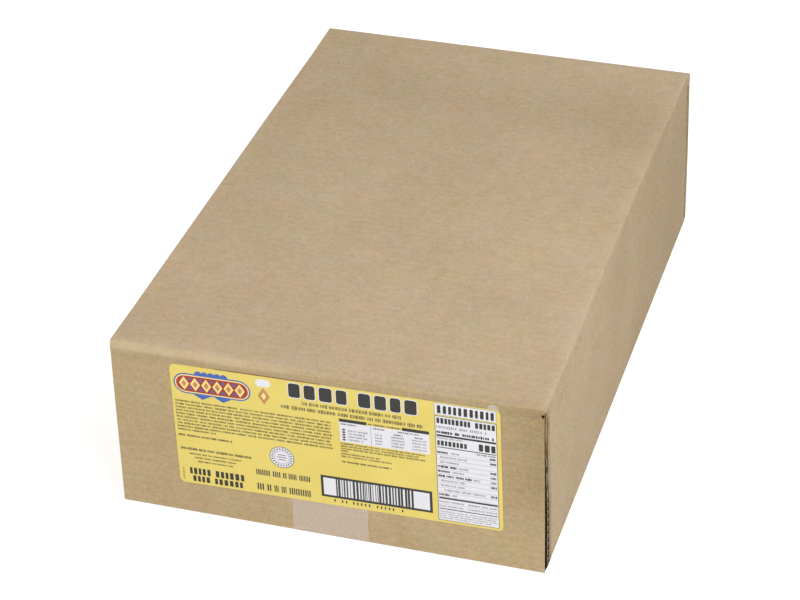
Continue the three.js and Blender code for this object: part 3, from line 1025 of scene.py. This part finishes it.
class Press:
    """Collects the label's print as thin closed plates, one coat over another."""

    def __init__(self):
        self.bm = bmesh.new()
        self.rng = random.Random(PRINT_SEED)
        self.numbers = {name: k for k, name in enumerate(INKS)}

    def plate(self, colour, outline, coat, low=None):
        high = SHEET[1] + PRINT_STEP * coat
        low = high - PRINT_STEP if low is None else low
        rings = [[self.bm.verts.new((u, off, v)) for u, v in outline] for off in (low, high)]
        close_tube(self.bm, rings, self.numbers.get(colour, 0))

    def box(self, colour, left, top, right, bottom, coat=1, radius=0.0):
        self.plate(colour, rounded(left, top, right, bottom, radius, CORNER_STEPS["print"]), coat)

    def boxes(self, colour, places, coat=1):
        for place in places:
            self.box(colour, *place, coat)

    def disc(self, colour, u, v, radius, coat=1, sides=48):
        self.plate(colour, [polar(u, v, radius, 2 * math.pi * i / sides) for i in range(sides)], coat)

    def ring(self, colour, u, v, radius, line, coat, sides=48):
        """A ring made of short plates side by side."""
        for i in range(sides):
            a, b = 2 * math.pi * i / sides, 2 * math.pi * (i + 1) / sides
            corners = ((radius, a), (radius, b), (radius - line, b), (radius - line, a))
            self.plate(colour, [polar(u, v, *corner) for corner in corners], coat)

    def diamond(self, colour, u, v, half_width, half_height, coat):
        self.plate(colour, [(u - half_width, v), (u, v + half_height), (u + half_width, v),
                            (u, v - half_height)], coat)

    def line(self, colour, left, right, middle, height, coat=1, pitch=0.5, fill=0.62):
        """A line of short upright strokes in the rhythm of words, in place of lettering."""
        step = height * pitch
        u = left
        while u < right - step:
            for _ in range(self.rng.randint(4, 15)):
                if u > right - step:
                    break
                wide = step * fill * self.rng.uniform(0.7, 1.3)
                tall = height * self.rng.choice((0.8, 0.8, 0.8, 1.05))
                self.box(colour, u, middle - tall / 2, u + wide, middle + tall / 2, coat)
                u += step
            u += step * 1.1

    def lines(self, colour, places, height, coat=1, **look):
        """Lines of one height at (left, right, middle)."""
        for place in places:
            self.line(colour, *place, height, coat, **look)

    def blocks(self, colour, words, top, bottom, gap, coat=1, radius=0.0, keyline=None):
        """Bold blocks for each word (left, right, count), in place of large lettering."""
        for left, right, count in words:
            shares = [self.rng.uniform(0.85, 1.15) for _ in range(count)]
            unit = (right - left) / sum(shares)
            u = left
            for share in shares:
                wide = unit * share
                start, end = u + wide * gap / 2, u + wide - wide * gap / 2
                if keyline:
                    border, grow = keyline
                    self.box(border, start - grow, top - grow, end + grow, bottom + grow, coat,
                             radius + grow)
                self.box(colour, start, top, end, bottom, coat + bool(keyline), radius)
                u += wide


def emblem(press):
    """A plain badge of lozenges, and a small mark beside it."""
    for k in range(5):
        press.disc("blue", 18.8 + 4.2 * k, 5.6, 2.5, 1, 24)
    for u in (20.4, 34.0):
        press.diamond("blue", u, 21.0, 5.4, 3.0, 1)
    press.box("blue", 2.0, 5.6, 52.8, 20.6, 2, 7.5)
    press.box("cream", 2.9, 6.5, 51.9, 19.7, 3, 6.6)
    press.box("red", 3.7, 7.3, 51.1, 18.9, 4, 5.8)
    for k in range(6):
        press.diamond("cream", 9.0 + 7.36 * k, 13.1, 3.3, 4.9, 5)
        press.diamond("tan", 9.0 + 7.36 * k, 13.1, 1.7, 2.6, 6)
    for k in range(5):
        for v in (9.6, 16.6):
            press.disc("blue", 12.68 + 7.36 * k, v, 1.0, 5, 20)
    press.box("white", 56.4, 2.2, 66.2, 7.6, 1, 2.7)
    press.diamond("tan", 61.3, 14.4, 4.0, 6.2, 1)
    press.diamond("cream", 61.3, 14.4, 1.7, 2.8, 2)


def seal(press):
    """A plain round mark: a white disc with two rings and a circle of ticks."""
    u, v = 70.2, 59.1
    press.disc("white", u, v, 8.1)
    press.ring("black", u, v, 8.1, 0.4, 2)
    press.ring("grey", u, v, 4.9, 0.3, 2)
    for k in range(22):
        a = 2 * math.pi * k / 22
        along, out = Vector((-math.sin(a), math.cos(a))), Vector((math.cos(a), math.sin(a)))
        corners = ((-0.32, 5.55), (-0.32, 7.05), (0.32, 7.05), (0.32, 5.55))
        press.plate("black", [tuple(Vector((u, v)) + along * aside + out * far)
                              for aside, far in corners], 2)
    for half, dv in ((2.6, -1.8), (3.4, 0.0), (2.4, 1.8)):
        press.box("grey", u - half, v + dv - 0.4, u + half, v + dv + 0.4, 2)


def heading(press):
    press.blocks("black", ((76.4, 116.6, 4), (121.4, 161.6, 4)), 1.9, 12.0, 0.26, radius=1.6,
                 keyline=("white", 0.55))
    press.line("black", 86.0, 151.3, 15.6, 2.7, pitch=0.34, fill=0.52)
    press.line("black", 72.2, 164.8, 19.9, 2.9, pitch=0.34, fill=0.52)


def small_print(press):
    press.line("black", 1.8, 44.0, 26.9, 1.4)
    press.line("soft", 45.0, 104.6, 26.9, 1.4)
    for k in range(1, 10):
        right = 27.5 if k == 9 else 104.6 + press.rng.uniform(-1.0, 0.6)
        press.line("soft", 1.8, right, 26.9 + 2.42 * k, 1.5)
    press.line("black", 1.8, 38.2, 53.0, 1.6)
    press.line("black", 2.6, 50.8, 63.2, 2.0, pitch=0.4)
    press.lines("soft", ((8.2, 43.2, 66.8), (11.2, 39.4, 69.5), (13.4, 37.0, 72.3)), 1.3)
    press.blocks("black", ((6.8, 21.6, 5), (24.0, 44.2, 6)), 77.7, 82.7, 0.34, radius=0.4)
    press.blocks("black", ((8.4, 20.8, 4), (23.2, 42.8, 6)), 83.8, 88.2, 0.34, radius=0.4)
    press.blocks("black", ((52.0, 61.6, 7), (63.0, 68.6, 4), (69.8, 72.6, 2), (73.6, 79.2, 5),
                           (80.6, 88.2, 7)), 71.0, 75.2, 0.42)
    press.blocks("black", ((52.0, 57.0, 3), (58.6, 61.8, 2), (63.4, 66.6, 3), (68.2, 71.8, 3),
                           (73.4, 88.0, 10)), 81.8, 86.8, 0.42)
    press.boxes("soft", [(2.2, 79.0 + k, 3.4, 79.4 + k) for k in range(9)])


def table(press):
    """The white table with a dark head bar, four rows and the lines under it."""
    press.box("white", 109.6, 25.0, 167.5, 39.8)
    press.boxes("black", ((109.6, 22.7, 127.4, 25.0), (150.2, 22.7, 167.5, 25.0)))
    press.line("black", 128.4, 149.6, 23.9, 1.3)
    press.box("grey", 129.9, 25.0, 130.15, 39.8, 2)
    press.lines("black", ((110.4, 121.0, 26.5), (131.4, 139.8, 26.5), (147.4, 161.6, 26.5),
                          (144.6, 151.0, 28.9), (158.0, 163.8, 28.9)), 1.1, 2)
    for k in range(4):
        v = 31.0 + 2.25 * k
        first = 123.0 + press.rng.uniform(2.0, 6.0)
        press.lines("grey", ((115.0, first, v), (132.6, 137.6, v), (143.0, 151.8, v),
                             (156.4, 165.6, v)), 1.3, 2)
    press.boxes("black", [(111.4, 30.0 + 1.9 * k, 113.2, 31.2 + 1.9 * k) for k in range(5)], 2)
    press.lines("soft", [(109.8, right, v) for right, v in (
        (164.8, 41.3), (161.0, 43.2), (164.6, 45.1), (115.6, 46.8), (135.4, 49.0), (143.0, 51.0))], 1.3)
    press.line("black", 109.8, 143.0, 55.1, 1.5)


def barcode(press):
    """A framed white field with upright bars of random widths and short marks under it."""
    left, top, right, bottom, line = 95.1, 67.8, 167.8, 84.2, 1.7
    press.boxes("black", ((left, top, right, top + line), (left, bottom - line, right, bottom),
                          (left, top + line, left + line, bottom - line),
                          (right - line, top + line, right, bottom - line)))
    press.box("white", left + line, top + line, right - line, bottom - line)
    module = 0.46
    u = 105.0
    while u < 156.0:
        wide = module * press.rng.choice((1, 2, 2, 3, 3))
        press.box("black", u, top + line, u + wide, bottom - line, 2)
        u += wide + module * press.rng.choice((1, 1, 2, 2, 3))
    for first, count in ((103.2, 1), (108.2, 2), (115.6, 5), (131.2, 5), (147.6, 1)):
        for k in range(count):
            start = first + 2.6 * k
            press.box("black", start, 85.3, start + 0.9, 87.3)


def number_box(press):
    press.box("grey", 171.3, 0.7, 210.4, 9.1)
    press.box("white", 171.6, 1.0, 210.1, 8.8, 2)
    press.blocks("black", ((172.4, 209.6, 11),), 2.2, 7.8, 0.4, 3, radius=0.6)


# The ruled rows of the facts panel: indent, length of a bold start, end, and whether there is a value.
FACTS_ROWS = ((0.0, 8.0, 14.4, 1), (1.6, 0.0, 19.4, 1), (1.6, 0.0, 14.0, 0), (0.0, 12.4, 20.0, 1),
              (0.0, 8.2, 16.8, 1), (0.0, 21.6, 27.4, 1), (1.6, 0.0, 17.6, 1), (1.6, 0.0, 17.0, 0),
              (3.6, 0.0, 30.4, 1), (0.0, 7.6, 11.8, 0))


def facts_panel(press):
    """A white panel of ruled rows under a bold head."""
    left, right = 172.3, 209.8
    press.box("black", 171.4, 9.8, 210.5, 88.3)
    press.box("white", 171.75, 10.15, 210.15, 87.95, 2)
    press.boxes("black", [(left, top, right, bottom) for top, bottom in (
        (23.5, 24.9), (32.6, 33.2), (70.6, 71.8), (79.2, 79.7))], 3)
    press.blocks("black", ((left, 194.2, 9), (196.6, right, 5)), 11.2, 15.2, 0.3, 3)
    press.line("grey", left, 204.4, 17.9, 2.2, 3, pitch=0.6, fill=0.5)
    press.lines("black", ((left, 187.6, 21.7), (188.6, right, 21.7)), 2.0, 3, pitch=0.72, fill=0.74)
    press.line("grey", left, 189.0, 26.1, 1.1, 3)
    press.blocks("black", ((left, 191.6, 8),), 27.9, 31.5, 0.3, 3)
    press.blocks("black", ((198.4, right, 3),), 26.5, 31.7, 0.26, 3, radius=0.7)
    press.line("black", 197.2, right, 34.5, 1.1, 3)
    step = 3.53
    for k, (indent, bold, end, value) in enumerate(FACTS_ROWS):
        v = 36.7 + step * k
        if bold:
            press.line("black", left, left + bold, v, 1.7, 3, fill=0.76)
            indent = bold + 0.9
        press.line("grey", left + indent, left + end, v, 1.5, 3)
        if value:
            press.line("black", 205.6, right, v, 1.6, 3, fill=0.76)
        press.box("grey", left, v + step / 2 - 0.08, right, v + step / 2 + 0.08, 3)
    for v in (73.9, 77.3):
        press.lines("grey", ((left, 188.6, v), (191.0, right, v)), 1.4, 3)
        press.box("grey", left, v + 1.65, right, v + 1.78, 3)
    for k, end in enumerate((right, right - 1.0, right, right - 4.0)):
        press.line("grey", left, end, 81.5 + 1.62 * k, 1.0, 3, pitch=0.8, fill=0.55)


def add_label_piece(name, press, materials, replaced=()):
    """Cuts the label's shapes along one grid, so that sheet and print bend alike, and places them.

    They are drawn as (u, off, v), with u and v from the label's top left corner.
    """
    bm = press.bm
    bisect(bm, ACROSS, spread(0.0, LABEL["width"], LABEL_GRID)[1:-1])
    bisect(bm, UP, spread(0.0, LABEL_FOLD_ZONE, LABEL_FOLD_GRID)[1:-1])
    bisect(bm, UP, spread(LABEL_FOLD_ZONE, LABEL["height"], LABEL_GRID)[:-1])
    across, up = math.cos(LABEL["tilt"]), math.sin(LABEL["tilt"])
    for vert in bm.verts:
        u = vert.co.x - LABEL["width"] / 2
        v = LABEL["height"] / 2 - vert.co.z
        vert.co = (LABEL_CENTRE[0] + u * across - v * up, -HALF_LENGTH - vert.co.y,
                   LABEL_CENTRE[2] + u * up + v * across)
    add_piece(name, bm, materials, replaced)


def label():
    sheet = Press()
    outline = rounded(0.0, 0.0, LABEL["width"], LABEL["height"], LABEL["radius"], CORNER_STEPS["sheet"])
    sheet.plate(None, outline, 0, SHEET[0])
    add_label_piece("label_sheet", sheet, (ink("label_yellow", *LABEL_PAPER),), ("label",))

    # Painted shadow: a thin reddish-brown strip showing above the label's top edge.
    painted_shadow = Press()
    left, right = LABEL_SHADOW["left"], LABEL_SHADOW["right"]
    outline = [(right, LABEL_SHADOW["low"]), (left, LABEL_SHADOW["low"])]
    outline += [(u, -LABEL_SHADOW["high"] * math.sin(math.pi * (u - left) / (right - left)) ** 0.5)
                for u in spread(left, right, LABEL_SHADOW["step"])[1:-1]]
    painted_shadow.plate(None, outline, 0, LABEL_SHADOW["off"])
    add_label_piece("label_top_shadow", painted_shadow, (ink("label_shadow_paint", *LABEL_SHADOW_LOOK),))

    press = Press()
    for part in (emblem, seal, heading, small_print, table, barcode, number_box, facts_panel):
        part(press)
    add_label_piece("label_print", press, [ink("ink_" + name, *look) for name, look in INKS.items()])


# ---- Floor, light and camera ----

FLOOR_SIZE = 12.0
FLOOR_LIGHT = srgb(207, 207, 207)
FLOOR_DARK = srgb(203, 203, 203)
FLOOR_GLOW = 0.5  # the floor is a sheet lit from below as well, which keeps its shadows faint
WORLD_STRENGTH = 0.68
KEY = {"azimuth": 50.0, "elevation": 50.0, "distance": 1.4, "size": 0.9, "watts": 14.8}
FILL = {"azimuth": -50.0, "elevation": 40.0, "distance": 1.6, "size": 1.2, "watts": 8.3,
        "colour": (1.0, 0.96, 0.88)}

FOCAL_PIXELS = 2571.0
IMAGE_WIDTH = 800.0
SENSOR = 36.0
AZIMUTH = math.radians(16.834)
ELEVATION = math.radians(32.58)
ROLL = math.radians(-0.622)
CAMERA_DISTANCE = 1748.43
LOOK_AT = Vector((-7.75, -38.14, 61.77))


def direction(azimuth, elevation):
    """From the object towards a place at this azimuth, 0 in front of it, and elevation."""
    return Vector((math.sin(azimuth) * math.cos(elevation),
                   -math.cos(azimuth) * math.cos(elevation), math.sin(elevation)))


def floor():
    mesh = bpy.data.meshes.new("floor")
    half = FLOOR_SIZE / 2
    corners = [(-half, -half, 0), (half, -half, 0), (half, half, 0), (-half, half, 0)]
    mesh.from_pydata(corners, [], [(0, 1, 2, 3)])
    nodes = Nodes("floor_paper")
    colour = nodes.mix(nodes.ramp(nodes.noise(3.0), 0.3, 0.7), FLOOR_DARK, FLOOR_LIGHT)
    mesh.materials.append(nodes.finish(Base_Color=colour, Roughness=0.9, Specular_IOR_Level=0.1,
                                       Emission_Color=(1.0, 1.0, 1.0, 1.0),
                                       Emission_Strength=FLOOR_GLOW))
    plane = add_object("floor", mesh)


def area_light(name, azimuth, elevation, distance, size, watts, colour=(1.0, 1.0, 1.0)):
    data = bpy.data.lights.new(name, "AREA")
    data.shape = "DISK"
    data.size = size
    data.energy = watts
    data.color = colour
    light = add_object(name, data)
    back = direction(math.radians(azimuth), math.radians(elevation))
    light.location = back * distance
    light.rotation_mode = "QUATERNION"
    light.rotation_quaternion = (-back).to_track_quat("-Z", "Y")


def world():
    made = bpy.data.worlds.new("studio")
    made.use_nodes = True
    background = made.node_tree.nodes["Background"]
    background.inputs["Color"].default_value = (1.0, 1.0, 1.0, 1.0)
    background.inputs["Strength"].default_value = WORLD_STRENGTH
    bpy.context.scene.world = made


def camera():
    data = bpy.data.cameras.new("camera")
    data.sensor_width = SENSOR
    data.lens = FOCAL_PIXELS / IMAGE_WIDTH * SENSOR
    data.clip_start = 0.05
    data.clip_end = 50.0
    back = direction(AZIMUTH, ELEVATION)
    right = Vector((math.cos(AZIMUTH), math.sin(AZIMUTH), 0.0))
    up = back.cross(right)
    rolled_right = right * math.cos(ROLL) + up * math.sin(ROLL)
    rolled_up = up * math.cos(ROLL) - right * math.sin(ROLL)
    turn = Matrix((rolled_right, rolled_up, back)).transposed().to_4x4()
    made = add_object("camera", data)
    made.matrix_world = Matrix.Translation((LOOK_AT + back * CAMERA_DISTANCE) * MM) @ turn
    bpy.context.scene.camera = made


# ---- Assembly ----

camera()
board_looks = (kraft(), cut_board())
for part in (carton, fluted_medium, shreds):
    part(board_looks)
tape_film = film("tape_film", *TAPE_FILM)
tape("tape_front_film", "tape_front", TAPE_X["front"], -1, tape_film)
tape("tape_back_film", "tape_back", TAPE_X["back"], 1, tape_film)
sticker()
label()
floor()
world()
area_light("key", **KEY)
area_light("fill", **FILL)
bpy.context.scene.view_settings.view_transform = "Standard"
